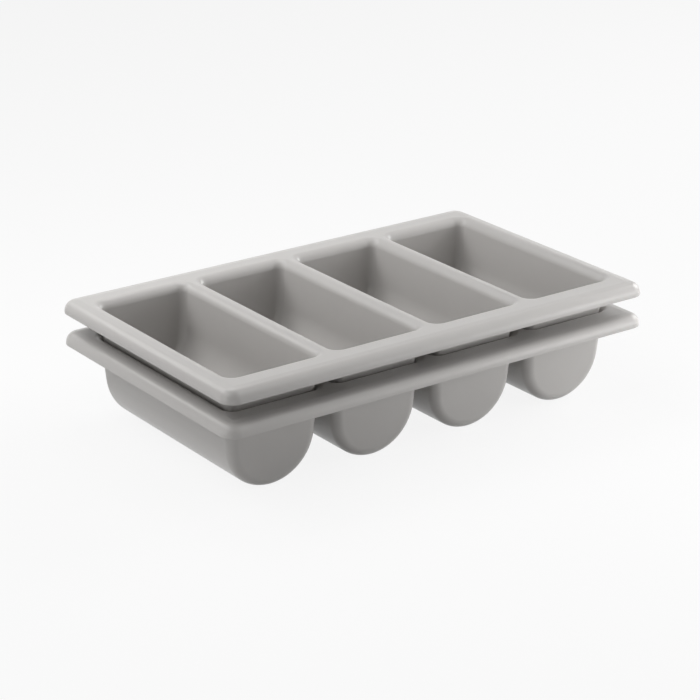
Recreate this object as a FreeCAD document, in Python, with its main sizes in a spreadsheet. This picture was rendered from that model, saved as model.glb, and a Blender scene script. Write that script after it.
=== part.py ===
import FreeCAD, Part
import math
import os
import Sketcher

# A stack of two identical cutlery trays, nested one in the other, in millimetres.
# Each tray is one thin plastic moulding: a rim with a turned-down skirt, and a row of
# tubs with round bottoms that hang from it. The walls lean by a few degrees, so the
# upper tray drops into the lower one until wall meets wall.
# Frame: +X along the tray's length, +Z up, origin on the floor under the tray's centre.

SIZES = {
    "tray_length": 530.0,
    "tray_width": 325.0,
    "rim_height": 14.0,
    "skirt_draft": 2.5,
    "land_corner_radius": 1.0,
    "shoulder_reach": 15.0,
    "shoulder_slope": 8.0,
    "shoulder_radius": 11.0,
    "side_land": 8.45,
    "end_land": 20.5,
    "wall_thickness": 2.2,
    "tub_count": 4,
    "divider_width": 14.9,
    "tub_depth": 96.5,
    "wall_draft": 4.1,
    "tub_end_radius": 10.5,
    "mouth_radius": 8.0,
    "nest_clearance": 0.3,
}

# What follows from the sizes, as expressions over the sheet.
# The rim's flat land ends at the shoulder, which slopes down and rolls over into the skirt.
RIM_CORNER = "(Sizes.land_corner_radius + Sizes.shoulder_reach)"
# The tubs share the space inside the land's edges, a divider apart.
SIDE_MARGINS = "(2 * (Sizes.shoulder_reach + Sizes.side_land))"
DIVIDERS = "((Sizes.tub_count - 1) * Sizes.divider_width)"
TUB_WIDTH = f"((Sizes.tray_length - {SIDE_MARGINS} - {DIVIDERS}) / Sizes.tub_count)"
TUB_LENGTH = "(Sizes.tray_width - 2 * (Sizes.shoulder_reach + Sizes.end_land))"
TUB_PITCH = f"({TUB_WIDTH} + Sizes.divider_width)"
ROW_LENGTH = f"((Sizes.tub_count - 1) * {TUB_PITCH})"
# The tub's section is drawn at the rim's top: two leaning walls and the arc that joins them.
LEAN = "Sizes.wall_draft"
WALL_ACROSS = f"(Sizes.wall_thickness / cos({LEAN}))"
OUTER_HALF_WIDTH = f"({TUB_WIDTH} / 2)"
INNER_HALF_WIDTH = f"({OUTER_HALF_WIDTH} - {WALL_ACROSS})"
OUTER_ROUND = (
    f"(({OUTER_HALF_WIDTH} * cos({LEAN}) - Sizes.tub_depth * sin({LEAN})) / (1 - sin({LEAN})))"
)
INNER_ROUND = f"({OUTER_ROUND} - Sizes.wall_thickness)"
ROUND_CENTRE_DEPTH = f"(Sizes.tub_depth - {OUTER_ROUND})"
INNER_LENGTH = f"({TUB_LENGTH} - 2 * {WALL_ACROSS})"
# An inner tub drops until the leaning walls are one clearance apart.
NEST_PITCH = f"(({WALL_ACROSS} + Sizes.nest_clearance) / tan({LEAN}))"

NEAR = 1e-4


def make_sheet(doc):
    """The driving sizes, one named cell each."""
    sheet = doc.addObject("Spreadsheet::Sheet", "Sizes")
    for row, (name, value) in enumerate(SIZES.items(), start=1):
        sheet.set(f"A{row}", name)
        sheet.set(f"B{row}", str(value))
        sheet.setAlias(f"B{row}", name)
    doc.recompute()
    return sheet


def origin_feature(body, role):
    """The body's own origin plane or axis with this role."""
    return next(item for item in body.Origin.OriginFeatures if item.Role == role)


def add_sketch(body, name, role):
    """An empty sketch on one of the body's origin planes."""
    sketch = body.newObject("Sketcher::SketchObject", name)
    sketch.AttachmentSupport = [(origin_feature(body, role), "")]
    sketch.MapMode = "FlatFace"
    return sketch


def bind(sketch, constraint, name, expression):
    """Add a named dimension to a sketch and tie it to an expression."""
    index = sketch.addConstraint(constraint)
    sketch.renameConstraint(index, name)
    sketch.setExpression(f"Constraints.{name}", expression)


def measure(sketch, kind, elements):
    """The present value of a dimension that is about to be added to a sketch."""
    if kind == "Radius":
        return sketch.Geometry[elements[0]].Radius
    if kind == "Angle":
        line = sketch.Geometry[elements[0]]
        run = line.EndPoint - line.StartPoint
        return math.atan2(run.y, run.x)
    run = sketch.getPoint(*elements[2:]) - sketch.getPoint(*elements[:2])
    return run.x if kind == "DistanceX" else run.y


def vector(x, y):
    """A point in a sketch."""
    return FreeCAD.Vector(x, y, 0)


def add_outline(body, name, level, reach, corner):
    """A level rectangle with round corners, some way in from the tray's edge."""
    sketch = add_sketch(body, name, "XY_Plane")
    sketch.setExpression("AttachmentOffset.Base.z", level)
    radius = SIZES["land_corner_radius"] + SIZES["shoulder_reach"]
    centre_x = SIZES["tray_length"] / 2 - radius
    centre_y = SIZES["tray_width"] / 2 - radius
    turns = [(1, 1), (-1, 1), (-1, -1), (1, -1)]
    for number, (side_x, side_y) in enumerate(turns):
        centre = vector(side_x * centre_x, side_y * centre_y)
        circle = Part.Circle(centre, FreeCAD.Vector(0, 0, 1), radius)
        start = number * math.pi / 2
        sketch.addGeometry(Part.ArcOfCircle(circle, start, start + math.pi / 2))
    for number in range(4):
        follower = (number + 1) % 4
        start = sketch.getPoint(number, 2)
        end = sketch.getPoint(follower, 1)
        side = sketch.addGeometry(Part.LineSegment(start, end))
        sketch.addConstraint(Sketcher.Constraint("Tangent", number, 2, side, 1))
        sketch.addConstraint(Sketcher.Constraint("Tangent", side, 2, follower, 1))
        sketch.addConstraint(Sketcher.Constraint("Vertical" if number % 2 else "Horizontal", side))
        if number:
            sketch.addConstraint(Sketcher.Constraint("Equal", 0, number))
    sketch.addConstraint(Sketcher.Constraint("Symmetric", 0, 3, 2, 3, -1, 1))
    bind(sketch, Sketcher.Constraint("Radius", 0, radius), "corner", corner)
    bind(
        sketch,
        Sketcher.Constraint("DistanceX", -1, 1, 0, 3, centre_x),
        "centre_x",
        f"Sizes.tray_length / 2 - {reach} - {corner}",
    )
    bind(
        sketch,
        Sketcher.Constraint("DistanceY", -1, 1, 0, 3, centre_y),
        "centre_y",
        f"Sizes.tray_width / 2 - {reach} - {corner}",
    )
    return sketch


def shoulder_line(inset):
    """Points of the shoulder's section, this far inside its outer face: the foot, the start,
    middle and end of the round part, and the edge of the land. Y runs across, Z up."""
    skirt = math.radians(SIZES["skirt_draft"])
    slope = math.radians(SIZES["shoulder_slope"])
    radius = SIZES["shoulder_radius"]
    into_skirt = vector(math.cos(skirt), -math.sin(skirt))
    into_slope = vector(math.sin(slope), -math.cos(slope))
    foot = vector(0, -SIZES["rim_height"])
    edge = vector(SIZES["shoulder_reach"], 0)
    reach_skirt = into_skirt.dot(foot) + radius
    reach_slope = into_slope.dot(edge) + radius
    turn = into_skirt.x * into_slope.y - into_skirt.y * into_slope.x
    centre = vector(
        (reach_skirt * into_slope.y - into_skirt.y * reach_slope) / turn,
        (into_skirt.x * reach_slope - reach_skirt * into_slope.x) / turn,
    )
    round_radius = radius - inset
    middle = (into_skirt + into_slope).normalize()
    points = [
        foot + vector(inset / math.cos(skirt), 0),
        centre - into_skirt * round_radius,
        centre - middle * round_radius,
        centre - into_slope * round_radius,
        edge + vector(inset * math.tan(slope / 2), -inset),
    ]
    return [point - vector(SIZES["tray_width"] / 2, 0) for point in points]


def add_shoulder_section(body, name):
    """The wall of the shoulder and skirt, cut across the front long side of the rim."""
    sketch = add_sketch(body, name, "YZ_Plane")
    outer = shoulder_line(0)
    inner = shoulder_line(SIZES["wall_thickness"])
    skirt = sketch.addGeometry(Part.LineSegment(outer[0], outer[1]))
    shoulder = sketch.addGeometry(Part.Arc(outer[1], outer[2], outer[3]))
    slope = sketch.addGeometry(Part.LineSegment(outer[3], outer[4]))
    seam = sketch.addGeometry(Part.LineSegment(outer[4], inner[4]))
    under_slope = sketch.addGeometry(Part.LineSegment(inner[4], inner[3]))
    under_shoulder = sketch.addGeometry(Part.Arc(inner[3], inner[2], inner[1]))
    under_skirt = sketch.addGeometry(Part.LineSegment(inner[1], inner[0]))
    foot = sketch.addGeometry(Part.LineSegment(inner[0], outer[0]))
    # An arc in a sketch always runs anticlockwise, so here it starts at its upper end.
    sketch.addConstraint(Sketcher.Constraint("Tangent", skirt, 2, shoulder, 2))
    sketch.addConstraint(Sketcher.Constraint("Tangent", shoulder, 1, slope, 1))
    sketch.addConstraint(Sketcher.Constraint("Coincident", slope, 2, seam, 1))
    sketch.addConstraint(Sketcher.Constraint("Coincident", seam, 2, under_slope, 1))
    sketch.addConstraint(Sketcher.Constraint("Tangent", under_slope, 2, under_shoulder, 1))
    sketch.addConstraint(Sketcher.Constraint("Tangent", under_shoulder, 2, under_skirt, 1))
    sketch.addConstraint(Sketcher.Constraint("Coincident", under_skirt, 2, foot, 1))
    sketch.addConstraint(Sketcher.Constraint("Coincident", foot, 2, skirt, 1))
    sketch.addConstraint(Sketcher.Constraint("Coincident", shoulder, 3, under_shoulder, 3))
    sketch.addConstraint(Sketcher.Constraint("Parallel", skirt, under_skirt))
    sketch.addConstraint(Sketcher.Constraint("Parallel", slope, under_slope))
    sketch.addConstraint(Sketcher.Constraint("Horizontal", foot))
    dimensions = [
        ("Radius", (shoulder,), "round", "Sizes.shoulder_radius"),
        ("Radius", (under_shoulder,), "under_round", "Sizes.shoulder_radius - Sizes.wall_thickness"),
        ("DistanceX", (skirt, 1, -1, 1), "foot_across", "Sizes.tray_width / 2"),
        ("DistanceY", (skirt, 1, -1, 1), "foot_depth", "Sizes.rim_height"),
        ("DistanceX", (skirt, 1, slope, 2), "land_edge", "Sizes.shoulder_reach"),
        ("DistanceY", (skirt, 1, slope, 2), "land_height", "Sizes.rim_height"),
        ("DistanceY", (seam, 2, -1, 1), "seam_depth", "Sizes.wall_thickness"),
        ("Angle", (skirt,), "skirt_lean", "90 - Sizes.skirt_draft"),
        ("Angle", (slope,), "slope_lean", "Sizes.shoulder_slope"),
    ]
    for kind, elements, label, expression in dimensions:
        value = measure(sketch, kind, elements)
        bind(sketch, Sketcher.Constraint(kind, *elements, value), label, expression)
    return sketch


def add_tub_section(body, name, half_width, bottom_radius):
    """The first tub's section across its length: flat top, leaning walls and round bottom."""
    sketch = add_sketch(body, name, "XZ_Plane")
    lean = math.radians(SIZES["wall_draft"])
    inside = SIZES["tray_length"] - 2 * (SIZES["shoulder_reach"] + SIZES["side_land"])
    pitch = (inside + SIZES["divider_width"]) / SIZES["tub_count"]
    middle = -(SIZES["tub_count"] - 1) * pitch / 2
    half = (pitch - SIZES["divider_width"]) / 2
    radius = (half * math.cos(lean) - SIZES["tub_depth"] * math.sin(lean)) / (1 - math.sin(lean))
    centre_depth = SIZES["tub_depth"] - radius
    across = radius * math.cos(lean)
    foot = -centre_depth - radius * math.sin(lean)
    top_right = vector(middle + half, 0)
    top_left = vector(middle - half, 0)
    foot_right = vector(middle + across, foot)
    foot_left = vector(middle - across, foot)
    circle = Part.Circle(vector(middle, -centre_depth), FreeCAD.Vector(0, 0, 1), radius)
    arc = sketch.addGeometry(Part.ArcOfCircle(circle, math.pi + lean, 2 * math.pi - lean))
    right = sketch.addGeometry(Part.LineSegment(foot_right, top_right))
    top = sketch.addGeometry(Part.LineSegment(top_right, top_left))
    left = sketch.addGeometry(Part.LineSegment(top_left, foot_left))
    sketch.addConstraint(Sketcher.Constraint("Tangent", arc, 2, right, 1))
    sketch.addConstraint(Sketcher.Constraint("Tangent", left, 2, arc, 1))
    sketch.addConstraint(Sketcher.Constraint("Coincident", right, 2, top, 1))
    sketch.addConstraint(Sketcher.Constraint("Coincident", top, 2, left, 1))
    sketch.addConstraint(Sketcher.Constraint("PointOnObject", right, 2, -1))
    sketch.addConstraint(Sketcher.Constraint("PointOnObject", left, 1, -1))
    bind(sketch, Sketcher.Constraint("Radius", arc, radius), "bottom", bottom_radius)
    bind(
        sketch,
        Sketcher.Constraint("DistanceY", arc, 3, -1, 1, centre_depth),
        "centre_depth",
        ROUND_CENTRE_DEPTH,
    )
    bind(
        sketch,
        Sketcher.Constraint("DistanceX", arc, 3, -1, 1, -middle),
        "middle",
        f"{ROW_LENGTH} / 2",
    )
    bind(
        sketch,
        Sketcher.Constraint("DistanceX", arc, 3, right, 2, half),
        "right_side",
        half_width,
    )
    bind(
        sketch,
        Sketcher.Constraint("DistanceX", left, 1, arc, 3, half),
        "left_side",
        half_width,
    )
    return sketch


def element_names(shape, elements, kind):
    """The names, such as Edge3, of some edges or faces of a shape."""
    pool = shape.Edges if kind == "Edge" else shape.Faces
    return [
        f"{kind}{number}"
        for number, item in enumerate(pool, start=1)
        if any(item.isSame(element) for element in elements)
    ]


def level_face(shape, height, upward):
    """The largest flat face at this height that looks up, or down."""
    way = 1 if upward else -1
    found = [
        face
        for face in shape.Faces
        if isinstance(face.Surface, Part.Plane)
        and abs(face.BoundBox.ZMax - height) < NEAR
        and abs(face.BoundBox.ZMin - height) < NEAR
        and face.normalAt(0, 0).z * way > 0
    ]
    return max(found, key=lambda face: face.Area)


def loops_in(face):
    """The edges of the holes in a flat face, without its outer edge."""
    outer = face.OuterWire
    return [edge for wire in face.Wires if not wire.isSame(outer) for edge in wire.Edges]


def end_faces(shape, rim_height, outside):
    """The flat end walls of the tubs, on their outside or on their inside."""
    way = 1 if outside else -1
    found = []
    for face in shape.Faces:
        if not isinstance(face.Surface, Part.Plane):
            continue
        middle = face.CenterOfMass
        normal = face.normalAt(0, 0)
        if middle.z < -rim_height and abs(normal.y) > abs(normal.z) and normal.y * middle.y * way > 0:
            found.append(face)
    return found


def rounded_end_edges(faces):
    """The edges round the end walls, without the level edge at the top of each."""
    edges = []
    for face in faces:
        top = face.BoundBox.ZMax
        edges += [edge for edge in face.Edges if edge.BoundBox.ZMin < top - NEAR]
    return edges


def add_dressing(body, kind, name, base, elements):
    """A fillet or draft on some elements of the feature before it."""
    feature = body.newObject(kind, name)
    feature.Base = (base, elements)
    return feature


def add_rim(body, label, doc):
    """The rim: a flat land, and round it the shoulder and skirt swept along the tray's edge."""
    land = body.newObject("PartDesign::Pad", f"{label}_land")
    land.Profile = add_outline(
        body,
        f"{label}_land_outline",
        "-Sizes.wall_thickness",
        "Sizes.shoulder_reach",
        "Sizes.land_corner_radius",
    )
    land.setExpression("Length", "Sizes.wall_thickness")
    doc.recompute()

    path = add_outline(body, f"{label}_skirt_path", "-Sizes.rim_height", "0", RIM_CORNER)
    skirt = body.newObject("PartDesign::AdditivePipe", f"{label}_skirt")
    skirt.Profile = add_shoulder_section(body, f"{label}_shoulder_section")
    skirt.Spine = path
    doc.recompute()
    return skirt


def add_row(body, kind, name, section, length, doc):
    """A tub's section pushed out along the tub's length, solid or cut, and its copies."""
    tub = body.newObject(kind, name)
    tub.Profile = section
    tub.SideType = "Symmetric"
    tub.setExpression("Length", length)
    doc.recompute()
    row = body.newObject("PartDesign::LinearPattern", f"{name}_row")
    row.Originals = [tub]
    row.Direction = (origin_feature(body, "X_Axis"), [""])
    row.Mode = "Extent"
    row.setExpression("Length", ROW_LENGTH)
    row.setExpression("Occurrences", "Sizes.tub_count")
    body.Tip = row
    doc.recompute()
    return row


def lean_and_round_ends(body, name, base, outside, radius, doc):
    """Lean the tubs' end walls as far as their sides, and round the edge where they meet."""
    faces = end_faces(base.Shape, SIZES["rim_height"], outside)
    names = element_names(base.Shape, faces, "Face")
    lean = add_dressing(body, "PartDesign::Draft", f"{name}_end_lean", base, names)
    lean.NeutralPlane = (origin_feature(body, "XY_Plane"), [""])
    lean.setExpression("Angle", LEAN)
    lean.Reversed = outside
    doc.recompute()

    faces = end_faces(lean.Shape, SIZES["rim_height"], outside)
    names = element_names(lean.Shape, rounded_end_edges(faces), "Edge")
    rounding = add_dressing(body, "PartDesign::Fillet", f"{name}_end_rounding", lean, names)
    rounding.setExpression("Radius", radius)
    doc.recompute()
    return rounding


def round_loops(body, name, base, face, radius, doc):
    """Round the edges where the tubs meet a flat face of the rim."""
    names = element_names(base.Shape, loops_in(face), "Edge")
    rounding = add_dressing(body, "PartDesign::Fillet", name, base, names)
    rounding.setExpression("Radius", radius)
    doc.recompute()
    return rounding


def add_tubs(body, label, doc):
    """The tubs: a row of solids, hollowed one wall in, with leaning ends and rounded edges.
    The hollows get their lean first, because the outsides would cut into upright ones."""
    outer = add_tub_section(body, f"{label}_tub_section", OUTER_HALF_WIDTH, OUTER_ROUND)
    solid = add_row(body, "PartDesign::Pad", f"{label}_tub", outer, TUB_LENGTH, doc)
    inner = add_tub_section(body, f"{label}_hollow_section", INNER_HALF_WIDTH, INNER_ROUND)
    hollow = add_row(body, "PartDesign::Pocket", f"{label}_hollow", inner, INNER_LENGTH, doc)
    if not hollow.Shape.Volume < solid.Shape.Volume:
        raise RuntimeError(f"{label} has no hollows")

    inner_radius = "Sizes.tub_end_radius - Sizes.wall_thickness"
    inside = lean_and_round_ends(body, f"{label}_hollow", hollow, False, inner_radius, doc)
    outer_radius = "Sizes.tub_end_radius"
    outside = lean_and_round_ends(body, f"{label}_tub", inside, True, outer_radius, doc)

    underside = level_face(outside.Shape, -SIZES["wall_thickness"], False)
    root_radius = "Sizes.mouth_radius - Sizes.wall_thickness"
    root = round_loops(body, f"{label}_tub_root", outside, underside, root_radius, doc)
    top = level_face(root.Shape, 0, True)
    return round_loops(body, f"{label}_mouth", root, top, "Sizes.mouth_radius", doc)


def build_tray(doc, label, height):
    """One tray. Its sketches are drawn from the rim's top, which stands at the given height."""
    body = doc.addObject("PartDesign::Body", label)
    body.Label = label
    add_rim(body, label, doc)
    add_tubs(body, label, doc)
    body.setExpression("Placement.Base.z", height)
    doc.recompute()
    return body


def check(doc, trays):
    """Stop if any object failed, or if a tray isn't one valid solid."""
    for item in doc.Objects:
        if "Invalid" in item.State or "Error" in item.State:
            raise RuntimeError(f"{item.Name} did not compute: {item.State}")
    for tray in trays:
        if tray.Shape.isNull() or not tray.Shape.isValid() or len(tray.Shape.Solids) != 1:
            raise RuntimeError(f"{tray.Label} is not one valid solid")


def main():
    """Build both trays and write one file for each."""
    doc = FreeCAD.newDocument("CutleryTrays")
    make_sheet(doc)
    trays = [
        build_tray(doc, "lower_tray", "Sizes.tub_depth"),
        build_tray(doc, "upper_tray", f"Sizes.tub_depth + {NEST_PITCH}"),
    ]
    check(doc, trays)
    os.makedirs("parts", exist_ok=True)
    for tray in trays:
        tray.Shape.exportStep(f"parts/{tray.Label}.step")
        print(tray.Label, round(tray.Shape.Volume), tray.Shape.BoundBox)


main()
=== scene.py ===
"""Two nested cutlery trays in satin grey polypropylene, dressed for a white studio.

Each tray is one thin moulding: a flat land with four long round-bottomed tubs hanging from it,
and a shoulder and skirt turned down round its edge. Its skin is worked out as grids of points
with the true normal at each, so the shading has no facets. Lengths are in metres.
"""
import logging
import math
from dataclasses import dataclass
from enum import Enum

import bpy
import numpy as np
from mathutils import Matrix, Vector


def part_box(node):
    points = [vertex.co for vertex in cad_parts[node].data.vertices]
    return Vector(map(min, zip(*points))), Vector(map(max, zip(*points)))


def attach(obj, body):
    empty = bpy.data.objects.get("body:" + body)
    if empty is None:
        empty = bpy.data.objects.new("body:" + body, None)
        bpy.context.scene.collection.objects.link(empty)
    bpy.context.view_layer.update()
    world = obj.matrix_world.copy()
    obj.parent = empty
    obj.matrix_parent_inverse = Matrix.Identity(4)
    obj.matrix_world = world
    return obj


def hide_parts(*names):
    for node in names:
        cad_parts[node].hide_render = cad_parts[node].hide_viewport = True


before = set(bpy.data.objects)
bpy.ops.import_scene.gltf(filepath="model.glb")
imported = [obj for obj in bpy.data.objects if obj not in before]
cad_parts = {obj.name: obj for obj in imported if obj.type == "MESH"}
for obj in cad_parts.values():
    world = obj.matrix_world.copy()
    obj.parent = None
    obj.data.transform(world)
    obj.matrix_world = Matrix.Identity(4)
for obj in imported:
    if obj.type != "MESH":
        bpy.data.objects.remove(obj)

LOG = logging.getLogger("cutlery_trays")
RUB_LAYER = "rub"
UP = np.array([0.0, 0.0, 1.0])


@dataclass(frozen=True)
class Steps:
    """How many steps each stretch of a surface is divided into.

    Attributes:
        corner: One corner of a tub's ring, a multiple of four.
        tub_side: The straight part of a tub's long side.
        tub_end: The straight part of its end.
        mouth: The round of its mouth, from the land to the wall.
        wall: Its walls, from the mouth to the round bottom.
        bottom: The round bottom, from the walls to the lowest line.
        land: The land, from a cell's border to its mouth.
        crease: The crease between land and shoulder.
        shoulder: The shoulder's roll into the skirt.
        foot: Each edge of the skirt's foot.
    """

    corner: int = 24
    tub_side: int = 16
    tub_end: int = 8
    mouth: int = 12
    wall: int = 4
    bottom: int = 24
    land: int = 3
    crease: int = 4
    shoulder: int = 14
    foot: int = 5


STEPS = Steps()


def unit(vectors: np.ndarray) -> np.ndarray:
    """Return the vectors at length one."""
    return vectors / np.linalg.norm(vectors, axis=-1, keepdims=True)


def turned(start: np.ndarray, end: np.ndarray, share: np.ndarray) -> np.ndarray:
    """Turn a direction towards another at an even rate.

    The result is sin((1 - s) w) / sin w of the first and sin(s w) / sin w of the second, where w is
    the angle between them and s the share of the turn. The two are never parallel.

    Args:
        start: Unit directions at share 0.
        end: Unit directions at share 1.
        share: How far the turn has come, from 0 to 1, one value for each direction.

    Returns:
        Unit directions.
    """
    start, end = np.broadcast_arrays(start, end)
    whole = np.arccos(np.clip(np.sum(start * end, axis=-1), -1.0, 1.0))
    part = whole * share
    return (
        np.sin(whole - part)[..., None] * start + np.sin(part)[..., None] * end
    ) / np.sin(whole)[..., None]


def outward(azimuth: float, elevation: float) -> Vector:
    """Direction from the object to a lamp or camera: (sin a cos e, -cos a cos e, sin e).

    Args:
        azimuth: Where it stands round the object, in degrees; 0 is in front, 90 on the right.
        elevation: Its height above level, in degrees.

    Returns:
        The direction, at length one.
    """
    round_by, up_by = math.radians(azimuth), math.radians(elevation)
    return Vector((
        math.sin(round_by) * math.cos(up_by),
        -math.cos(round_by) * math.cos(up_by),
        math.sin(up_by),
    ))


def put_in_scene(name: str, data: bpy.types.ID) -> bpy.types.Object:
    """Make an object from some data and link it to the scene.

    Args:
        name: Name of the object.
        data: Its mesh, lamp or camera.

    Returns:
        The object.
    """
    made = bpy.data.objects.new(name, data)
    bpy.context.scene.collection.objects.link(made)
    return made


# Shape

class Skin:
    """A closed skin welded from grids of points."""

    WELD = 1e-7

    def __init__(self) -> None:
        """Start with no points."""
        self.points: list[np.ndarray] = []
        self.normals: list[np.ndarray] = []
        self.rubs: list[np.ndarray] = []
        self.quads: list[np.ndarray] = []
        self.count = 0

    def add(self, points: np.ndarray, normals: np.ndarray, rub: np.ndarray) -> None:
        """Add a grid, with its faces turned the way its normals point.

        Args:
            points: Grid of places, rows by columns by 3.
            normals: Outward direction at each place.
            rub: How much handling each place gets, from 0 to 1.
        """
        rows, columns = points.shape[:2]
        index = self.count + np.arange(rows * columns).reshape(rows, columns)
        corners = [index[:-1, :-1], index[1:, :-1], index[1:, 1:], index[:-1, 1:]]
        quads = np.stack(corners, axis=-1).reshape(-1, 4)
        # The diagonals' cross product says which way the quads face
        across = points[1:, 1:] - points[:-1, :-1]
        other = points[:-1, 1:] - points[1:, :-1]
        facing = np.sum(np.cross(across, other) * normals[:-1, :-1])
        self.points.append(points.reshape(-1, 3))
        self.normals.append(normals.reshape(-1, 3))
        self.rubs.append(np.broadcast_to(rub, (rows, columns)).reshape(-1))
        self.quads.append(quads if facing > 0 else quads[:, ::-1])
        self.count += rows * columns

    def mesh(self, name: str) -> bpy.types.Mesh:
        """Weld the grids and make a mesh with the true normals.

        Args:
            name: Name of the mesh.

        Returns:
            The mesh, smooth all over.
        """
        points = np.concatenate(self.points)
        keys = np.round(points / self.WELD).astype(np.int64)
        _, first, welded = np.unique(keys, axis=0, return_index=True, return_inverse=True)
        welded = welded.reshape(-1)
        normals = np.zeros((len(first), 3))
        np.add.at(normals, welded, np.concatenate(self.normals))
        rub = np.concatenate(self.rubs)[first]

        # A quad with two neighbouring corners welded is a triangle, and a thinner one is nothing
        quads = welded[np.concatenate(self.quads)]
        pinched = quads == np.roll(quads, -1, axis=1)
        whole = quads[~pinched.any(axis=1)]
        torn = quads[pinched.sum(axis=1) == 1]
        keep = ~(torn == np.roll(torn, -1, axis=1))
        triangles = torn[keep].reshape(-1, 3)

        mesh = bpy.data.meshes.new(name)
        sizes = np.concatenate([np.full(len(whole), 4), np.full(len(triangles), 3)])
        loops = np.concatenate([whole.reshape(-1), triangles.reshape(-1)])
        mesh.vertices.add(len(first))
        mesh.vertices.foreach_set("co", points[first].reshape(-1))
        mesh.loops.add(len(loops))
        mesh.loops.foreach_set("vertex_index", loops)
        mesh.polygons.add(len(sizes))
        mesh.polygons.foreach_set("loop_start", np.concatenate([[0], np.cumsum(sizes)[:-1]]))
        mesh.update(calc_edges=True)
        mesh.validate()
        mesh.shade_smooth()
        layer = mesh.attributes.new(RUB_LAYER, "FLOAT", "POINT")
        layer.data.foreach_set("value", rub)
        mesh.normals_split_custom_set_from_vertices(unit(normals))
        return mesh


@dataclass(frozen=True)
class Profile:
    """The rim's section.

    Attributes:
        across: How far outside the crease's line each place lies.
        height: How far above the land it lies.
        normal_across: Outward part of the surface's direction there.
        normal_up: Upward part of it.
    """

    across: np.ndarray
    height: np.ndarray
    normal_across: np.ndarray
    normal_up: np.ndarray


def bend(centre: tuple[float, float], radius: float, start: float, end: float, steps: int,
         inward: bool = False) -> np.ndarray:
    """Points and normals along a round stretch of a section.

    A place at angle a from the vertical is the centre plus the radius times (sin a, cos a), and
    its normal is (sin a, cos a), or the opposite on an inner face.

    Args:
        centre: Centre, across and up.
        radius: Radius of the stretch.
        start: Angle from the vertical at its start, in degrees.
        end: The same at its end.
        steps: Number of steps.
        inward: True on an inner face.

    Returns:
        Rows of across, height, normal across and normal up.
    """
    angle = np.radians(np.linspace(start, end, steps + 1))
    away = np.stack([np.sin(angle), np.cos(angle)], axis=-1)
    place = np.array(centre) + radius * away
    return np.concatenate([place, -away if inward else away], axis=-1)


@dataclass(frozen=True)
class Rim:
    """The land's edge, shoulder and skirt.

    Attributes:
        height: From the skirt's foot to the land.
        reach: Width of shoulder and skirt, outside the land.
        slope: Fall of the shoulder, in degrees.
        shoulder_radius: Radius with which the shoulder rolls into the skirt.
        skirt_lean: Lean of the skirt from upright, in degrees.
        corner_radius: Radius of the crease's corners, which grows outwards with the section.
        least_radius: Radius of the corners inside the crease, where the land ends.
        crease_radius: Radius of the crease between land and shoulder.
        foot_radius: Radius of the two edges of the skirt's foot.
        wall: Thickness of the moulding.
    """

    height: float = 0.014
    reach: float = 0.015
    slope: float = 8.0
    shoulder_radius: float = 0.011
    skirt_lean: float = 2.5
    corner_radius: float = 0.001
    least_radius: float = 0.0002
    crease_radius: float = 0.012
    foot_radius: float = 0.0007
    wall: float = 0.0022

    @property
    def crease_run(self) -> float:
        """Distance from the crease's line to where its rounding starts on the land."""
        return self.crease_radius * math.tan(math.radians(self.slope) / 2)

    def across_skirt(self) -> tuple[np.ndarray, float]:
        """Work out where the skirt's outer face lies.

        Returns:
            Its outward direction, across and up, and how far out it lies along it.
        """
        lean = math.radians(self.skirt_lean)
        direction = np.array([math.cos(lean), math.sin(lean)])
        foot = np.array([self.reach, -self.height])
        return direction, float(foot @ direction)

    def shoulder_centre(self) -> tuple[float, float]:
        """Work out the centre of the shoulder's round, one radius in from slope and skirt.

        Returns:
            The centre, across and up.
        """
        slope = math.radians(self.slope)
        direction, distance = self.across_skirt()
        faces = np.array([[math.sin(slope), math.cos(slope)], direction])
        depths = np.array([-self.shoulder_radius, distance - self.shoulder_radius])
        across, up = np.linalg.solve(faces, depths)
        return float(across), float(up)

    def foot_centre(self, depth: float) -> tuple[float, float]:
        """Work out the centre of a foot edge's round.

        Args:
            depth: How far in from the skirt's outer face it lies.

        Returns:
            The centre, across and up.
        """
        direction, distance = self.across_skirt()
        up = self.foot_radius - self.height
        return float((distance - depth - up * direction[1]) / direction[0]), up

    def profile(self) -> Profile:
        """Work out the section from the land, over the shoulder, round the foot and back under.

        Returns:
            The section's places and directions. Straight stretches join the round ones.
        """
        crease = (-self.crease_run, -self.crease_radius)
        under_crease = self.crease_radius - self.wall
        centre = self.shoulder_centre()
        upright = 90 - self.skirt_lean
        under_shoulder = self.shoulder_radius - self.wall
        outer_foot = self.foot_centre(self.foot_radius)
        inner_foot = self.foot_centre(self.wall - self.foot_radius)
        stretches = [
            bend(crease, self.crease_radius, 0, self.slope, STEPS.crease),
            bend(centre, self.shoulder_radius, self.slope, upright, STEPS.shoulder),
            bend(outer_foot, self.foot_radius, upright, 180, STEPS.foot),
            bend(inner_foot, self.foot_radius, 180, 180 + upright, STEPS.foot),
            bend(centre, under_shoulder, upright, self.slope, STEPS.shoulder, inward=True),
            bend(crease, under_crease, self.slope, 0, STEPS.crease, inward=True),
        ]
        rows = np.concatenate(stretches)
        return Profile(rows[:, 0], rows[:, 1], rows[:, 2], rows[:, 3])


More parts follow.
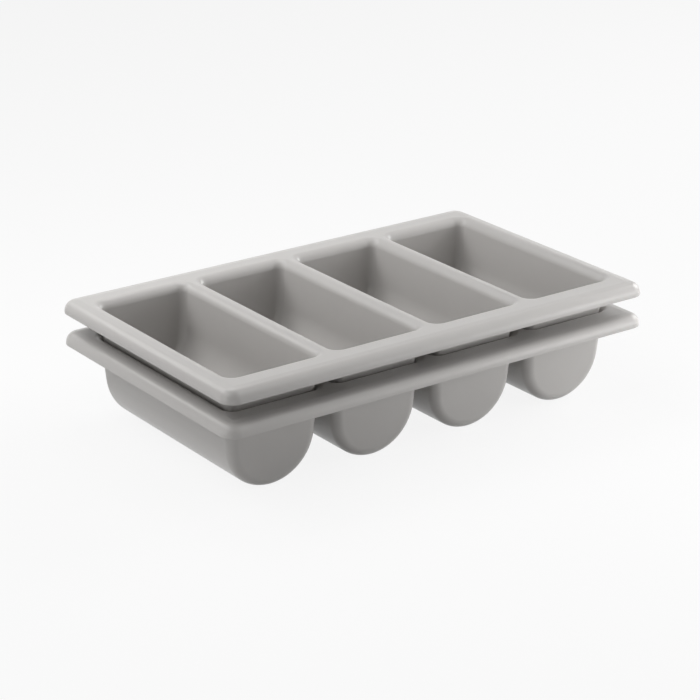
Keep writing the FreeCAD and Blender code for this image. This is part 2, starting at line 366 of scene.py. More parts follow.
@dataclass(frozen=True)
class Ring:
    """How a closed ring round a tub is laid out, one value for each of its places.

    Attributes:
        along_x: Place between the tub's sides, from -1 to 1.
        along_y: Place between the tub's ends, from -1 to 1.
        side_x: Which side its normal leans to, -1 or 1.
        side_y: Which end its normal leans to, -1 or 1.
        turn: Share of the turn from facing the side, 0, to facing the end, 1.
    """

    along_x: np.ndarray
    along_y: np.ndarray
    side_x: np.ndarray
    side_y: np.ndarray
    turn: np.ndarray

    @classmethod
    def lay_out(cls) -> "Ring":
        """Lay out a ring that starts at the front of the right side and runs anticlockwise.

        Returns:
            The ring, closed on its first place.
        """
        side = np.linspace(-1, 1, STEPS.tub_side + 1)[:-1]
        end = np.linspace(1, -1, STEPS.tub_end + 1)[:-1]
        corner = np.linspace(0, 1, STEPS.corner + 1)[:-1]
        spans = []
        for way in (1.0, -1.0):
            # A long side, a corner, an end and the next corner
            spans.append((way, side * way, way, way, 0.0))
            spans.append((way, way, way, way, corner))
            spans.append((end * way, way, -way, way, 1.0))
            spans.append((-way, way, -way, way, 1 - corner))
        rows = [np.stack(np.broadcast_arrays(*span)) for span in spans]
        rows.append(rows[0][:, :1])
        return cls(*np.concatenate(rows, axis=1))


@dataclass(frozen=True)
class Tub:
    """One long round-bottomed compartment, seen from inside.

    A ball of the end radius rolls round inside the hollow: its centre keeps to a smaller hollow
    with sharp ends, and the skin is that centre plus the radius times the outward direction.

    Attributes:
        half_width: Half the hollow's width at the height of the land, without the mouth's round.
        half_length: Half its length there.
        depth: From the land to the lowest line of the hollow.
        lean: Lean of its walls from upright, in degrees.
        end_radius: Radius of the edge round each end wall.
        mouth_radius: Radius of the mouth's edge.
    """

    half_width: float
    half_length: float
    depth: float
    lean: float
    end_radius: float = 0.0083
    mouth_radius: float = 0.01

    @property
    def bottom_radius(self) -> float:
        """Radius of the round bottom, which meets both leaning walls without a kink.

        A circle that touches the walls and the lowest line has the radius
        (w cos a - d sin a) / (1 - sin a), with w the half width, d the depth and a the lean.
        """
        lean = math.radians(self.lean)
        flat = self.half_width * math.cos(lean) - self.depth * math.sin(lean)
        return flat / (1 - math.sin(lean))

    def ball_path(self, level: np.ndarray) -> tuple[np.ndarray, np.ndarray]:
        """Size of the hollow that the ball's centre keeps to, beside the straight walls.

        Args:
            level: Heights above the land.

        Returns:
            Half its width and half its length at each height.
        """
        lean = math.radians(self.lean)
        inset = self.end_radius / math.cos(lean)
        fall = level * math.tan(lean)
        return self.half_width - inset + fall, self.half_length - inset + fall

    def around(self, ring: Ring, half_width: np.ndarray, level: np.ndarray,
               below: np.ndarray) -> tuple[np.ndarray, np.ndarray]:
        """Places and outward directions round the hollow.

        Args:
            ring: Layout of the ring.
            half_width: Half width of the ball centre's path, one value for each place.
            level: Height of the ball's centre, likewise.
            below: Angle by which the side's outward direction points below level, in radians.

        Returns:
            Grids of places and of directions out of the hollow, into the plastic.
        """
        lean = math.radians(self.lean)
        _, half_length = self.ball_path(level)
        zero = np.zeros_like(below)
        facing_side = np.stack([np.cos(below), zero, -np.sin(below)], axis=-1)
        facing_end = np.array([0.0, math.cos(lean), -math.sin(lean)])
        away = turned(facing_side, facing_end, ring.turn)
        away = away * np.stack([ring.side_x, ring.side_y, np.ones_like(ring.turn)], axis=-1)
        centre = np.stack(np.broadcast_arrays(
            ring.along_x * half_width, ring.along_y * half_length, level + 0 * ring.turn
        ), axis=-1)
        return centre + self.end_radius * away, away

    def surface(self, ring: Ring) -> tuple[np.ndarray, np.ndarray]:
        """The inside of the tub, from the land down to its lowest line.

        The mouth is an arc whose centre lies one mouth radius into the plastic: it starts level
        with the land and ends along the wall. The walls run straight from there to the round
        bottom, which turns from the walls' lean to level.

        Args:
            ring: Layout of each ring.

        Returns:
            Grids of places and of directions out of the plastic, rings by places.
        """
        side_below = np.full_like(ring.turn, math.radians(self.lean))
        nothing = np.zeros_like(ring.turn)
        _, away = self.around(ring, nothing, nothing, side_below)
        top_level = -self.mouth_radius - (self.mouth_radius + self.end_radius) * away[:, 2]
        top_width, _ = self.ball_path(top_level)
        top, away = self.around(ring, top_width, top_level, side_below)

        share = np.linspace(1, 0, STEPS.mouth + 1)[:, None]
        swing = turned(away[None], -UP, np.broadcast_to(share, (len(share), len(away))))
        mouth = (top + self.mouth_radius * away)[None] - self.mouth_radius * swing

        below = np.radians(np.linspace(self.lean, 90, STEPS.bottom + 1))[:, None]
        inner_radius = self.bottom_radius - self.end_radius
        half_width = inner_radius * np.cos(below)
        level = self.bottom_radius - self.depth - inner_radius * np.sin(below)
        shape = (len(below), len(ring.turn))
        bottom, bottom_away = self.around(
            ring,
            np.broadcast_to(half_width, shape),
            np.broadcast_to(level, shape),
            np.broadcast_to(below, shape),
        )
        steps = np.linspace(0, 1, STEPS.wall + 1)[1:-1, None, None]
        wall = top * (1 - steps) + bottom[0] * steps
        wall_away = np.broadcast_to(away, wall.shape)
        places = np.concatenate([mouth, wall, bottom])
        return places, -np.concatenate([swing, wall_away, bottom_away])


@dataclass(frozen=True)
class Land:
    """The flat plate between the shoulder and the tubs' mouths, one cell for each tub.

    Attributes:
        half_length: From the tray's middle to the land's end, where the crease starts.
        half_width: The same across the tray.
        corner_radius: Radius of its corners.
        pitch: Distance between two tubs.
        tubs: Number of tubs.
        side_straight: Half the straight stretch of a mouth's long side.
        end_straight: Half the straight stretch of a mouth's end.
    """

    half_length: float
    half_width: float
    corner_radius: float
    pitch: float
    tubs: int
    side_straight: float
    end_straight: float

    def tub_x(self, number: int) -> float:
        """Place of a tub's middle along the tray."""
        return (number - (self.tubs - 1) / 2) * self.pitch

    def cell_half(self, number: int, side: np.ndarray) -> tuple[np.ndarray, np.ndarray]:
        """How far a tub's cell reaches from the tub's middle along the tray.

        Args:
            number: Which tub.
            side: Which way to look, -1 or 1.

        Returns:
            The distances, and whether the land ends there.
        """
        last = np.where(side > 0, number == self.tubs - 1, number == 0)
        outer = self.half_length - side * self.tub_x(number)
        return np.where(last, outer, self.pitch / 2), last

    def border(self, ring: Ring, number: int) -> np.ndarray:
        """The border of a tub's cell, laid out as the mouth's ring is.

        Between two tubs, half of a corner's steps run along each border line. At the tray's own
        corners a quarter runs along each line, and the steps between turn round the corner.

        Args:
            ring: Layout of the mouth's ring.
            number: Which tub.

        Returns:
            Places at the height of the land.
        """
        reach_x, last = self.cell_half(number, ring.side_x)
        reach_y = self.half_width
        turn = ring.turn
        sharp_x = reach_x - (reach_x - self.end_straight) * np.clip(2 * turn - 1, 0, 1)
        sharp_y = self.side_straight + (reach_y - self.side_straight) * np.clip(2 * turn, 0, 1)
        radius = self.corner_radius
        angle = np.clip(2 * turn - 0.5, 0, 1) * math.pi / 2
        run_x = (reach_x - radius - self.end_straight) * np.clip(4 * turn - 3, 0, 1)
        run_y = (reach_y - radius - self.side_straight) * np.clip(1 - 4 * turn, 0, 1)
        round_x = reach_x - radius + radius * np.cos(angle) - run_x
        round_y = reach_y - radius + radius * np.sin(angle) - run_y
        corner_x = np.where(last, round_x, sharp_x)
        corner_y = np.where(last, round_y, sharp_y)
        # Beside the mouth's straight sides and ends, the border keeps step with the mouth
        x = np.where(turn == 0, reach_x * ring.side_x, corner_x * ring.side_x)
        x = np.where(turn == 1, self.end_straight * ring.along_x, x)
        y = np.where(turn == 1, reach_y * ring.side_y, corner_y * ring.side_y)
        y = np.where(turn == 0, self.side_straight * ring.along_y, y)
        return np.stack([x + self.tub_x(number), y, 0 * x], axis=-1)

    def outlines(self, grow: np.ndarray, radius: np.ndarray) -> tuple[np.ndarray, np.ndarray]:
        """Outlines round the land, in the same places as the cells' borders.

        Args:
            grow: How far outside the land's edge each outline lies.
            radius: Radius of each outline's corners.

        Returns:
            Places round each outline, closed on the first, and the level directions out of them.
        """
        quarter = STEPS.corner // 4
        half = STEPS.corner // 2
        end_x = self.half_length + grow - radius
        end_y = self.half_width + grow - radius

        def span(start: np.ndarray, stop: np.ndarray, steps: int) -> np.ndarray:
            """Even steps along a line, without its last place, one row for each outline."""
            return np.linspace(start + 0 * grow, stop + 0 * grow, steps + 1, axis=-1)[:, :-1]

        front = []
        for number in range(self.tubs):
            middle = self.tub_x(number)
            first, last = number == 0, number == self.tubs - 1
            near, far = middle - self.end_straight, middle + self.end_straight
            start = -end_x if first else middle - self.pitch / 2
            stop = end_x if last else middle + self.pitch / 2
            front.append(span(start, near, quarter if first else half))
            front.append(span(near, far, STEPS.tub_end))
            front.append(span(far, stop, quarter if last else half))
        straight = self.side_straight
        side = [
            span(-end_y, -straight, quarter),
            span(-straight, straight, STEPS.tub_side),
            span(straight, end_y, quarter),
        ]
        front = np.concatenate(front + [end_x[:, None]], axis=1)
        side = np.concatenate(side + [end_y[:, None]], axis=1)

        # Front, right, back and left, each with the round corner that follows it
        places, directions = [], []
        for number, line in enumerate((front, side, front, side)):
            facing = math.radians(90 * number - 90)
            away = np.array([math.cos(facing), math.sin(facing)])
            forward = np.array([-away[1], away[0]])
            end = (end_y, end_x)[number % 2]
            reach = (end + radius)[:, None, None]
            places.append(line[..., None] * forward + reach * away)
            directions.append(np.broadcast_to(away, (line.shape[1], 2)))
            swing = facing + np.linspace(0, math.pi / 2, half + 1)[1:-1]
            turn = np.stack([np.cos(swing), np.sin(swing)], axis=-1)
            centre = line[:, -1, None, None] * forward + end[:, None, None] * away
            places.append(centre + radius[:, None, None] * turn)
            directions.append(turn)
        places.append(places[0][:, :1])
        directions.append(directions[0][:1])
        return np.concatenate(places, axis=1), np.concatenate(directions)


@dataclass(frozen=True)
class Tray:
    """One moulded tray.

    Attributes:
        length: Length of the tray, over its skirt.
        width: Width of the tray.
        depth: Height of the tray.
        top: Height of its land.
        rim: Sizes of its rim.
        tubs: Number of tubs.
        side_land: Land between the shoulder and the outside of the first tub's wall.
        end_land: Land between the shoulder and the outside of a tub's end wall.
        divider: Distance between the outsides of two tubs' walls.
        lean: Lean of the tubs' walls, in degrees.
    """

    length: float
    width: float
    depth: float
    top: float
    rim: Rim = Rim()
    tubs: int = 4
    side_land: float = 0.00845
    end_land: float = 0.0205
    divider: float = 0.0149
    lean: float = 4.1

    @classmethod
    def from_frame(cls, node: str) -> "Tray":
        """Take a tray's overall size and place from the frame.

        Args:
            node: The tray's node.

        Returns:
            The tray.
        """
        low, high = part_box(node)
        return cls(high[0] - low[0], high[1] - low[1], high[2] - low[2], high[2])

    @property
    def pitch(self) -> float:
        """Distance between two tubs' middles."""
        inside = self.length - 2 * (self.rim.reach + self.side_land)
        return (inside + self.divider) / self.tubs

    def tub(self) -> Tub:
        """Work out the hollow of each tub, one wall in from its outside.

        Returns:
            The hollow.
        """
        across = self.rim.wall / math.cos(math.radians(self.lean))
        return Tub(
            half_width=(self.pitch - self.divider) / 2 - across,
            half_length=self.width / 2 - self.rim.reach - self.end_land - across,
            depth=self.depth - self.rim.wall,
            lean=self.lean,
        )

    def skin(self) -> Skin:
        """Weld the tray's whole skin from its tubs, land and rim.

        Returns:
            The skin, top and underside.
        """
        skin = Skin()
        ring = Ring.lay_out()
        places, normals = self.tub().surface(ring)
        mouth = places[0]
        land = Land(
            half_length=self.length / 2 - self.rim.reach - self.rim.crease_run,
            half_width=self.width / 2 - self.rim.reach - self.rim.crease_run,
            corner_radius=self.rim.least_radius,
            pitch=self.pitch,
            tubs=self.tubs,
            side_straight=-float(mouth[0, 1]),
            end_straight=float(mouth[:, 0][ring.turn == 1].max()),
        )
        steps = np.linspace(0, 1, STEPS.land + 1)[:, None, None]
        for number in range(self.tubs):
            shift = np.array([land.tub_x(number), 0, self.top])
            self.add_both(skin, places + shift, normals)
            border = land.border(ring, number) + self.top * UP
            cell = border * (1 - steps) + (mouth + shift) * steps
            self.add_both(skin, cell, np.broadcast_to(UP, cell.shape))
        self.add_rim(skin, land)
        return skin

    def add_both(self, skin: Skin, places: np.ndarray, normals: np.ndarray) -> None:
        """Add a grid of the tray's top, and its underside one wall below along the normals.

        Only the upward faces get rubbed.

        Args:
            skin: The skin to add to.
            places: Grid of places on the top.
            normals: Outward direction at each.
        """
        rub = np.clip(normals[..., 2], 0, 1) ** 2
        skin.add(places, normals, rub)
        skin.add(places - self.rim.wall * normals, -normals, rub * 0)

    def add_rim(self, skin: Skin, land: Land) -> None:
        """Carry the rim's section round the land's edge.

        Args:
            skin: The skin to add to.
            land: The land that the section starts and ends on.
        """
        rim = self.rim
        profile = rim.profile()
        radius = np.maximum(rim.corner_radius + profile.across, rim.least_radius)
        places, away = land.outlines(profile.across + rim.crease_run, radius)
        level = np.broadcast_to((self.top + profile.height)[:, None], places.shape[:2])
        places = np.concatenate([places, level[..., None]], axis=-1)
        tilt = np.broadcast_to(profile.normal_up[:, None, None], (*places.shape[:2], 1))
        normals = np.concatenate([profile.normal_across[:, None, None] * away, tilt], axis=-1)
        skin.add(places, normals, np.clip(profile.normal_up, 0, 1)[:, None])


# Plastic

class Mark(Enum):
    """The shader effects that the plastics share, by node group name."""

    DRIFT = "pigment_drift"
    GRAIN = "moulded_grain"
    HANDLING = "handling_marks"


class Effects:
    """Builds each shared node group once.

    Attributes:
        NOISE_MIDDLE: Value that a noise swings about.
        DRIFT_BROAD: Scale of the pigment's broad patches, about so many to a metre.
        DRIFT_FINE: Scale of its finer patches.
        DRIFT_SHARE: Weight of the finer patches beside the broad ones.
        GRAIN_PITS: Scale of the grain's pits.
        GRAIN_PEBBLE: Scale of its larger pebbles.
        GRAIN_SHARE: Weight of the pebbles beside the pits.
        GRAIN_RIPPLE: Scale of the slow ripple under the grain.
        SCUFF_TILT: How far the scuffs' pattern is tipped about X and Y, in radians.
        SCUFF_TURNS: The two directions of the scuffs, as turns about Z.
        SCUFF_STRETCH: Scale of the pattern along each axis, which draws it out to hairlines.
        SCUFF_EDGES: Noise values at which a scuff starts and is full.
    """

    NOISE_MIDDLE = 0.5
    DRIFT_BROAD = 9.0
    DRIFT_FINE = 70.0
    DRIFT_SHARE = 0.35
    GRAIN_PITS = 2600.0
    GRAIN_PEBBLE = 1100.0
    GRAIN_SHARE = 0.8
    GRAIN_RIPPLE = 38.0
    SCUFF_TILT = (0.4, 0.2)
    SCUFF_TURNS = (0.35, 1.9)
    SCUFF_STRETCH = (14.0, 900.0, 60.0)
    SCUFF_EDGES = (0.66, 0.78)

    @staticmethod
    def start(mark: Mark, inputs: dict[str, tuple[str, float | None]],
              outputs: dict[str, str]) -> tuple[bpy.types.NodeTree, bpy.types.Node, bpy.types.Node]:
        """Make an empty node group.

        Args:
            mark: Which effect it is.
            inputs: Socket type and default of each input, by name.
            outputs: Socket type of each output, by name.

        Returns:
            The group, its input node and its output node.
        """
        group = bpy.data.node_groups.new(mark.value, "ShaderNodeTree")
        for name, (kind, value) in inputs.items():
            socket = group.interface.new_socket(name, in_out="INPUT", socket_type=kind)
            if value is not None:
                socket.default_value = value
        for name, kind in outputs.items():
            group.interface.new_socket(name, in_out="OUTPUT", socket_type=kind)
        source = group.nodes.new("NodeGroupInput")
        sink = group.nodes.new("NodeGroupOutput")
        return group, source, sink

    @staticmethod
    def noise(tree: bpy.types.NodeTree, vector: bpy.types.NodeSocket, scale: float,
              detail: float) -> bpy.types.NodeSocket:
        """Add a noise texture.

        Args:
            tree: Node tree to add it to.
            vector: Coordinates that it reads.
            scale: Its scale.
            detail: How many finer octaves it has.

        Returns:
            Its value.
        """
        node = tree.nodes.new("ShaderNodeTexNoise")
        node.inputs["Scale"].default_value = scale
        node.inputs["Detail"].default_value = detail
        tree.links.new(vector, node.inputs["Vector"])
        return node.outputs["Fac"]

    @staticmethod
    def calculate(tree: bpy.types.NodeTree, operation: str,
                  *values: bpy.types.NodeSocket | float) -> bpy.types.NodeSocket:
        """Add a maths node.

        Args:
            tree: Node tree to add it to.
            operation: Name of its operation.
            values: Its inputs in their order, as sockets or numbers.

        Returns:
            Its result.
        """
        node = tree.nodes.new("ShaderNodeMath")
        node.operation = operation
        for slot, value in zip(node.inputs, values):
            if isinstance(value, bpy.types.NodeSocket):
                tree.links.new(value, slot)
            else:
                slot.default_value = value
        return node.outputs[0]

    @classmethod
    def drift(cls) -> bpy.types.NodeTree:
        """Slow changes in how the pigment is mixed: the colour times 1 plus a two-size noise.

        Returns:
            The group, from a colour to a colour.
        """
        group, source, sink = cls.start(
            Mark.DRIFT,
            {"Vector": ("NodeSocketVector", None), "Colour": ("NodeSocketColor", None),
             "Amount": ("NodeSocketFloat", None)},
            {"Colour": "NodeSocketColor"},
        )
        broad = cls.noise(group, source.outputs["Vector"], cls.DRIFT_BROAD, detail=3.0)
        fine = cls.noise(group, source.outputs["Vector"], cls.DRIFT_FINE, detail=2.0)
        both = cls.calculate(group, "MULTIPLY_ADD", fine, cls.DRIFT_SHARE, broad)
        middle = cls.NOISE_MIDDLE * (1 + cls.DRIFT_SHARE)
        swing = cls.calculate(group, "SUBTRACT", both, middle)
        gain = cls.calculate(group, "MULTIPLY_ADD", swing, source.outputs["Amount"], 1.0)
        scale = group.nodes.new("ShaderNodeVectorMath")
        scale.operation = "SCALE"
        group.links.new(source.outputs["Colour"], scale.inputs[0])
        group.links.new(gain, scale.inputs["Scale"])
        group.links.new(scale.outputs[0], sink.inputs["Colour"])
        return group

    @classmethod
    def grain(cls) -> bpy.types.NodeTree:
        """The mould's spark-eroded grain: two fine noises and a slow ripple.

        Returns:
            The group, which gives a height.
        """
        group, source, sink = cls.start(
            Mark.GRAIN,
            {"Vector": ("NodeSocketVector", None), "Ripple": ("NodeSocketFloat", None)},
            {"Height": "NodeSocketFloat"},
        )
        vector = source.outputs["Vector"]
        pits = cls.noise(group, vector, cls.GRAIN_PITS, detail=3.0)
        pebble = cls.noise(group, vector, cls.GRAIN_PEBBLE, detail=1.0)
        ripple = cls.noise(group, vector, cls.GRAIN_RIPPLE, detail=1.0)
        fine = cls.calculate(group, "MULTIPLY_ADD", pebble, cls.GRAIN_SHARE, pits)
        height = cls.calculate(group, "MULTIPLY_ADD", ripple, source.outputs["Ripple"], fine)
        group.links.new(height, sink.inputs["Height"])
        return group

    @classmethod
    def handling(cls) -> bpy.types.NodeTree:
        """Fine hairline scuffs: stretched noise in two directions, cut to thin lines.

        Returns:
            The group, which gives a mask.
        """
        group, source, sink = cls.start(
            Mark.HANDLING,
            {"Vector": ("NodeSocketVector", None), "Rub": ("NodeSocketFloat", None)},
            {"Mask": "NodeSocketFloat"},
        )
        lines = []
        for turn in cls.SCUFF_TURNS:
            mapping = group.nodes.new("ShaderNodeMapping")
            mapping.inputs["Rotation"].default_value = (*cls.SCUFF_TILT, turn)
            mapping.inputs["Scale"].default_value = cls.SCUFF_STRETCH
            group.links.new(source.outputs["Vector"], mapping.inputs["Vector"])
            line = cls.noise(group, mapping.outputs["Vector"], scale=1.0, detail=1.0)
            sharp = group.nodes.new("ShaderNodeMapRange")
            sharp.inputs["From Min"].default_value = cls.SCUFF_EDGES[0]
            sharp.inputs["From Max"].default_value = cls.SCUFF_EDGES[1]
            group.links.new(line, sharp.inputs["Value"])
            lines.append(sharp.outputs["Result"])
        both = cls.calculate(group, "MAXIMUM", *lines)
        mask = cls.calculate(group, "MULTIPLY", both, source.outputs["Rub"])
        group.links.new(mask, sink.inputs["Mask"])
        return group

    @classmethod
    def group(cls, mark: Mark) -> bpy.types.NodeTree:
        """Look up the node group of an effect, and build it on its first use.

        Args:
            mark: Which effect.

        Returns:
            The group.
        """
        made = bpy.data.node_groups.get(mark.value)
        makers = {Mark.DRIFT: cls.drift, Mark.GRAIN: cls.grain, Mark.HANDLING: cls.handling}
        return made or makers[mark]()


@dataclass(frozen=True)
class SatinPlastic:
    """Grey polypropylene from a finely grained mould.

    Attributes:
        name: Name of the material.
        colour: Colour of the plastic, linear.
        roughness: Roughness of the clean surface.
        scuffing: How much rougher it is along a scuff.
        refraction: Index of refraction.
        gloss: Strength of the mirrored light; 0.5 is the plain strength.
        drift: How far the colour wanders.
        grain: Height of the mould's grain.
        ripple: Height of the slow ripple, as a multiple of the grain.
        offset: Shift of the patterns, so that two mouldings differ.
    """

    name: str
    colour: tuple[float, float, float] = (0.479, 0.466, 0.453)
    roughness: float = 0.28
    scuffing: float = 0.12
    refraction: float = 1.49
    gloss: float = 0.32
    drift: float = 0.05
    grain: float = 0.00001
    ripple: float = 1.0
    offset: tuple[float, float, float] = (0.0, 0.0, 0.0)

    @staticmethod
    def place(tree: bpy.types.NodeTree, mark: Mark, vector: bpy.types.NodeSocket) -> bpy.types.Node:
        """Put a shared effect into the material.

        Args:
            tree: The material's node tree.
            mark: Which effect.
            vector: Coordinates of its pattern.

        Returns:
            The effect's node.
        """
        node = tree.nodes.new("ShaderNodeGroup")
        node.node_tree = Effects.group(mark)
        tree.links.new(vector, node.inputs["Vector"])
        return node

    def material(self) -> bpy.types.Material:
        """Build the material.

        Returns:
            The material, with its patterns on Object coordinates.
        """
        material = bpy.data.materials.new(self.name)
        material.use_nodes = True
        tree = material.node_tree
        shader = tree.nodes["Principled BSDF"]
        coordinates = tree.nodes.new("ShaderNodeTexCoord")
        mapping = tree.nodes.new("ShaderNodeMapping")
        mapping.inputs["Location"].default_value = self.offset
        tree.links.new(coordinates.outputs["Object"], mapping.inputs["Vector"])
        vector = mapping.outputs["Vector"]

        drift = self.place(tree, Mark.DRIFT, vector)
        drift.inputs["Colour"].default_value = (*self.colour, 1.0)
        drift.inputs["Amount"].default_value = self.drift
        tree.links.new(drift.outputs["Colour"], shader.inputs["Base Color"])

        rub = tree.nodes.new("ShaderNodeAttribute")
        rub.attribute_name = RUB_LAYER
        scuffs = self.place(tree, Mark.HANDLING, vector)
        tree.links.new(rub.outputs["Fac"], scuffs.inputs["Rub"])
        mask = scuffs.outputs["Mask"]
        rough = Effects.calculate(tree, "MULTIPLY_ADD", mask, self.scuffing, self.roughness)
        tree.links.new(rough, shader.inputs["Roughness"])

        grain = self.place(tree, Mark.GRAIN, vector)
        grain.inputs["Ripple"].default_value = self.ripple
        bump = tree.nodes.new("ShaderNodeBump")
        bump.inputs["Distance"].default_value = self.grain
        bump.inputs["Strength"].default_value = 1.0
        tree.links.new(grain.outputs["Height"], bump.inputs["Height"])
        tree.links.new(bump.outputs["Normal"], shader.inputs["Normal"])
        shader.inputs["IOR"].default_value = self.refraction
        shader.inputs["Specular IOR Level"].default_value = self.gloss
        return material


@dataclass(frozen=True)
class TrayPiece:
    """A finished tray, standing for its node of the frame.

    Attributes:
        node: The node that it stands for.
        body: The body that it rides on.
        name: Name of the piece.
        plastic: What it is made of.
    """

    node: str
    body: str
    name: str
    plastic: SatinPlastic

    def build(self) -> None:
        """Build the tray's mesh, dress it and put it on its body."""
        mesh = Tray.from_frame(self.node).skin().mesh(self.name)
        mesh.materials.append(self.plastic.material())
        piece = put_in_scene(self.name, mesh)
        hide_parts(self.node)
        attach(piece, self.body)
        LOG.info("%s: %d faces on body %s", self.name, len(mesh.polygons), self.body)


# Camera and studio

@dataclass(frozen=True)
class Viewpoint:
    """The photograph's camera.

    Attributes:
        azimuth: Where it stands round the object, in degrees; 0 is in front, 90 on the right.
        elevation: Height of the camera above level, in degrees.
        roll: Turn about the line of sight, in degrees.
        distance: From the camera's plane to the middle of the upper tray's land.
        lens: Focal length in millimetres on a sensor of the given width.
        sensor: Sensor width in millimetres.
        aside: How far right of the picture's middle the land's middle lies.
        above: How far above the picture's middle it lies.
    """

    azimuth: float = -35.695
    elevation: float = 21.444
    roll: float = 0.106
    distance: float = 2.50232
    lens: float = 122.2
    sensor: float = 36.0
    aside: float = 0.00541
    above: float = 0.06287

    def build(self, target: Vector) -> bpy.types.Object:
        """Make the camera.

        Args:
            target: Middle of the upper tray's land.

        Returns:
            The camera's object.
        """
        back = outward(self.azimuth, self.elevation)
        azimuth = math.radians(self.azimuth)
        right = Vector((math.cos(azimuth), math.sin(azimuth), 0))
        up = back.cross(right)
        roll = Matrix.Rotation(-math.radians(self.roll), 3, back)
        right, up = roll @ right, roll @ up
        data = bpy.data.cameras.new("photo_camera")
        data.lens = self.lens
        data.sensor_width = self.sensor
        camera = put_in_scene("photo_camera", data)
        axes = Matrix((right, up, back)).transposed().to_4x4()
        place = target + back * self.distance - right * self.aside - up * self.above
        camera.matrix_world = Matrix.Translation(place) @ axes
        return camera


@dataclass(frozen=True)
class SoftBox:
    """A square studio lamp that looks at the object.

    Attributes:
        name: Name of the lamp.
        azimuth: Where it stands round the object, in degrees; 0 is in front, 90 on the right.
        elevation: Its height above level, in degrees.
        distance: Distance from the object.
        size: Length of its sides.
        power: Its power in watts.
    """

    name: str
    azimuth: float
    elevation: float
    distance: float
    size: float
    power: float

    def build(self, target: Vector) -> None:
        """Make the lamp.

        Args:
            target: Place that it is aimed at.
        """
        away = outward(self.azimuth, self.elevation)
        data = bpy.data.lights.new(self.name, "AREA")
        data.shape = "SQUARE"
        data.size = self.size
        data.energy = self.power
        lamp = put_in_scene(self.name, data)
        lamp.location = target + away * self.distance
        lamp.rotation_euler = away.to_track_quat("Z", "Y").to_euler()
        LOG.info("%s: %.1f W", self.name, self.power)


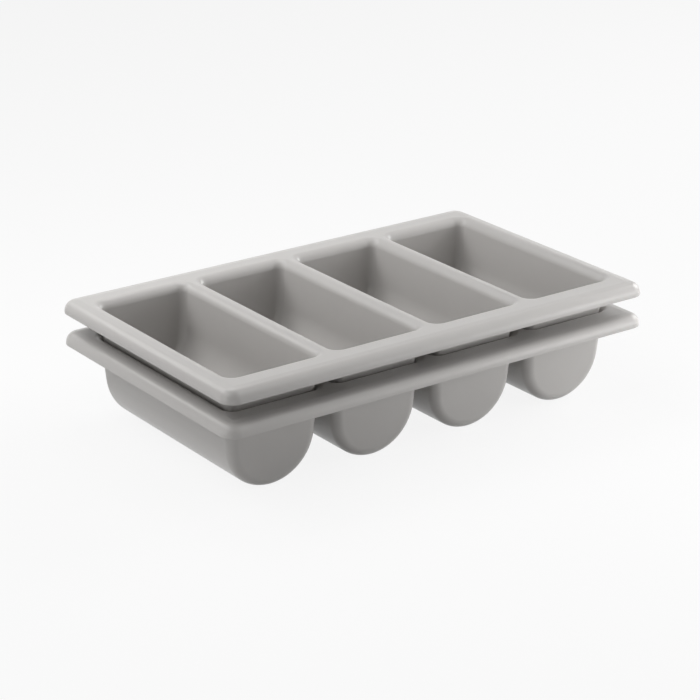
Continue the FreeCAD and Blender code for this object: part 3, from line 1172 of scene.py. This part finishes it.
@dataclass(frozen=True)
class Studio:
    """The white studio: floor, world and lamps.

    Attributes:
        floor_half: Half the floor's side.
        floor_colour: Grey level of the floor for the light that it throws back.
        floor_roughness: Roughness of the floor.
        floor_veil: How much of the floor is plain white where it is seen.
        dome: Strength of the even light from all round.
        lamps: The soft boxes, each with name, azimuth, elevation, distance, size and power.
    """

    floor_half: float = 6.0
    floor_colour: float = 0.7
    floor_roughness: float = 0.9
    floor_veil: float = 0.88
    dome: float = 0.02
    lamps: tuple[SoftBox, ...] = (
        SoftBox("back_left_box", -135.0, 48.0, 2.4, 1.2, 14.4),
        SoftBox("left_high_box", -90.0, 48.0, 2.4, 1.2, 12.9),
        SoftBox("left_low_box", -90.0, 8.0, 2.4, 1.2, 12.8),
        SoftBox("front_right_high_box", 45.0, 48.0, 2.4, 1.2, 9.2),
        SoftBox("right_box", 90.0, 25.0, 2.4, 1.2, 32.0),
        SoftBox("back_near_box", 180.0, 60.0, 0.9, 0.4, 2.2),
        SoftBox("back_left_near_box", -141.0, 34.0, 0.6, 0.3, 0.7),
        SoftBox("front_low_box", 30.0, 6.0, 0.8, 0.36, 1.0),
        SoftBox("front_right_low_box", 50.0, 6.0, 0.8, 0.36, 1.7),
    )

    @staticmethod
    def seen_directly(tree: bpy.types.NodeTree) -> bpy.types.NodeSocket:
        """Tell the rays that see a thing from the rays that only light the object.

        Args:
            tree: Node tree of a material or the world.

        Returns:
            A value of 1 for camera, glossy and transmission rays, else 0.
        """
        path = tree.nodes.new("ShaderNodeLightPath")
        seen = Effects.calculate(
            tree, "MAXIMUM", path.outputs["Is Camera Ray"], path.outputs["Is Glossy Ray"]
        )
        return Effects.calculate(tree, "MAXIMUM", seen, path.outputs["Is Transmission Ray"])

    def floor(self) -> None:
        """Make the floor: a pale surface that keeps the shadow, veiled with white."""
        name = "studio_floor"
        mesh = bpy.data.meshes.new(name)
        half = self.floor_half
        corners = [(-half, -half, 0), (half, -half, 0), (half, half, 0), (-half, half, 0)]
        mesh.from_pydata(corners, [], [(0, 1, 2, 3)])
        material = bpy.data.materials.new(name)
        material.use_nodes = True
        tree = material.node_tree
        shader = tree.nodes["Principled BSDF"]
        grey = self.floor_colour
        shader.inputs["Base Color"].default_value = (grey, grey, grey, 1)
        shader.inputs["Roughness"].default_value = self.floor_roughness
        shader.inputs["Specular IOR Level"].default_value = 0.0
        white = tree.nodes.new("ShaderNodeEmission")
        mix = tree.nodes.new("ShaderNodeMixShader")
        veil = Effects.calculate(tree, "MULTIPLY", self.seen_directly(tree), self.floor_veil)
        tree.links.new(veil, mix.inputs["Fac"])
        tree.links.new(shader.outputs["BSDF"], mix.inputs[1])
        tree.links.new(white.outputs["Emission"], mix.inputs[2])
        tree.links.new(mix.outputs["Shader"], tree.nodes["Material Output"].inputs["Surface"])
        mesh.materials.append(material)
        floor = put_in_scene(name, mesh)

    def world(self) -> None:
        """Make the world: white where it is seen, an even soft light everywhere else."""
        world = bpy.data.worlds.new("studio_world")
        world.use_nodes = True
        bpy.context.scene.world = world
        tree = world.node_tree
        background = tree.nodes["Background"]
        background.inputs["Color"].default_value = (1, 1, 1, 1)
        seen = self.seen_directly(tree)
        rest = Effects.calculate(tree, "SUBTRACT", 1.0, seen)
        strength = Effects.calculate(tree, "MULTIPLY_ADD", rest, self.dome, seen)
        tree.links.new(strength, background.inputs["Strength"])

    def build(self, target: Vector) -> None:
        """Make the floor, the world and every lamp.

        Args:
            target: Place that the lamps are aimed at.
        """
        self.floor()
        self.world()
        for lamp in self.lamps:
            lamp.build(target)


def main() -> None:
    """Build the trays, the camera and the studio."""
    logging.basicConfig(level=logging.INFO, format="%(name)s %(message)s")
    scene = bpy.context.scene
    scene.view_settings.view_transform = "Standard"
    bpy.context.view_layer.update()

    trays = (
        TrayPiece("lower_tray", "lower", "lower_moulding",
                  SatinPlastic("lower_plastic", offset=(0.7, 0.3, 0.1))),
        TrayPiece("upper_tray", "upper", "upper_moulding", SatinPlastic("upper_plastic")),
    )
    for tray in trays:
        tray.build()

    target = Vector((0, 0, Tray.from_frame("upper_tray").top))
    scene.camera = Viewpoint().build(target)
    Studio().build(target)


if __name__ == "__main__":
    main()
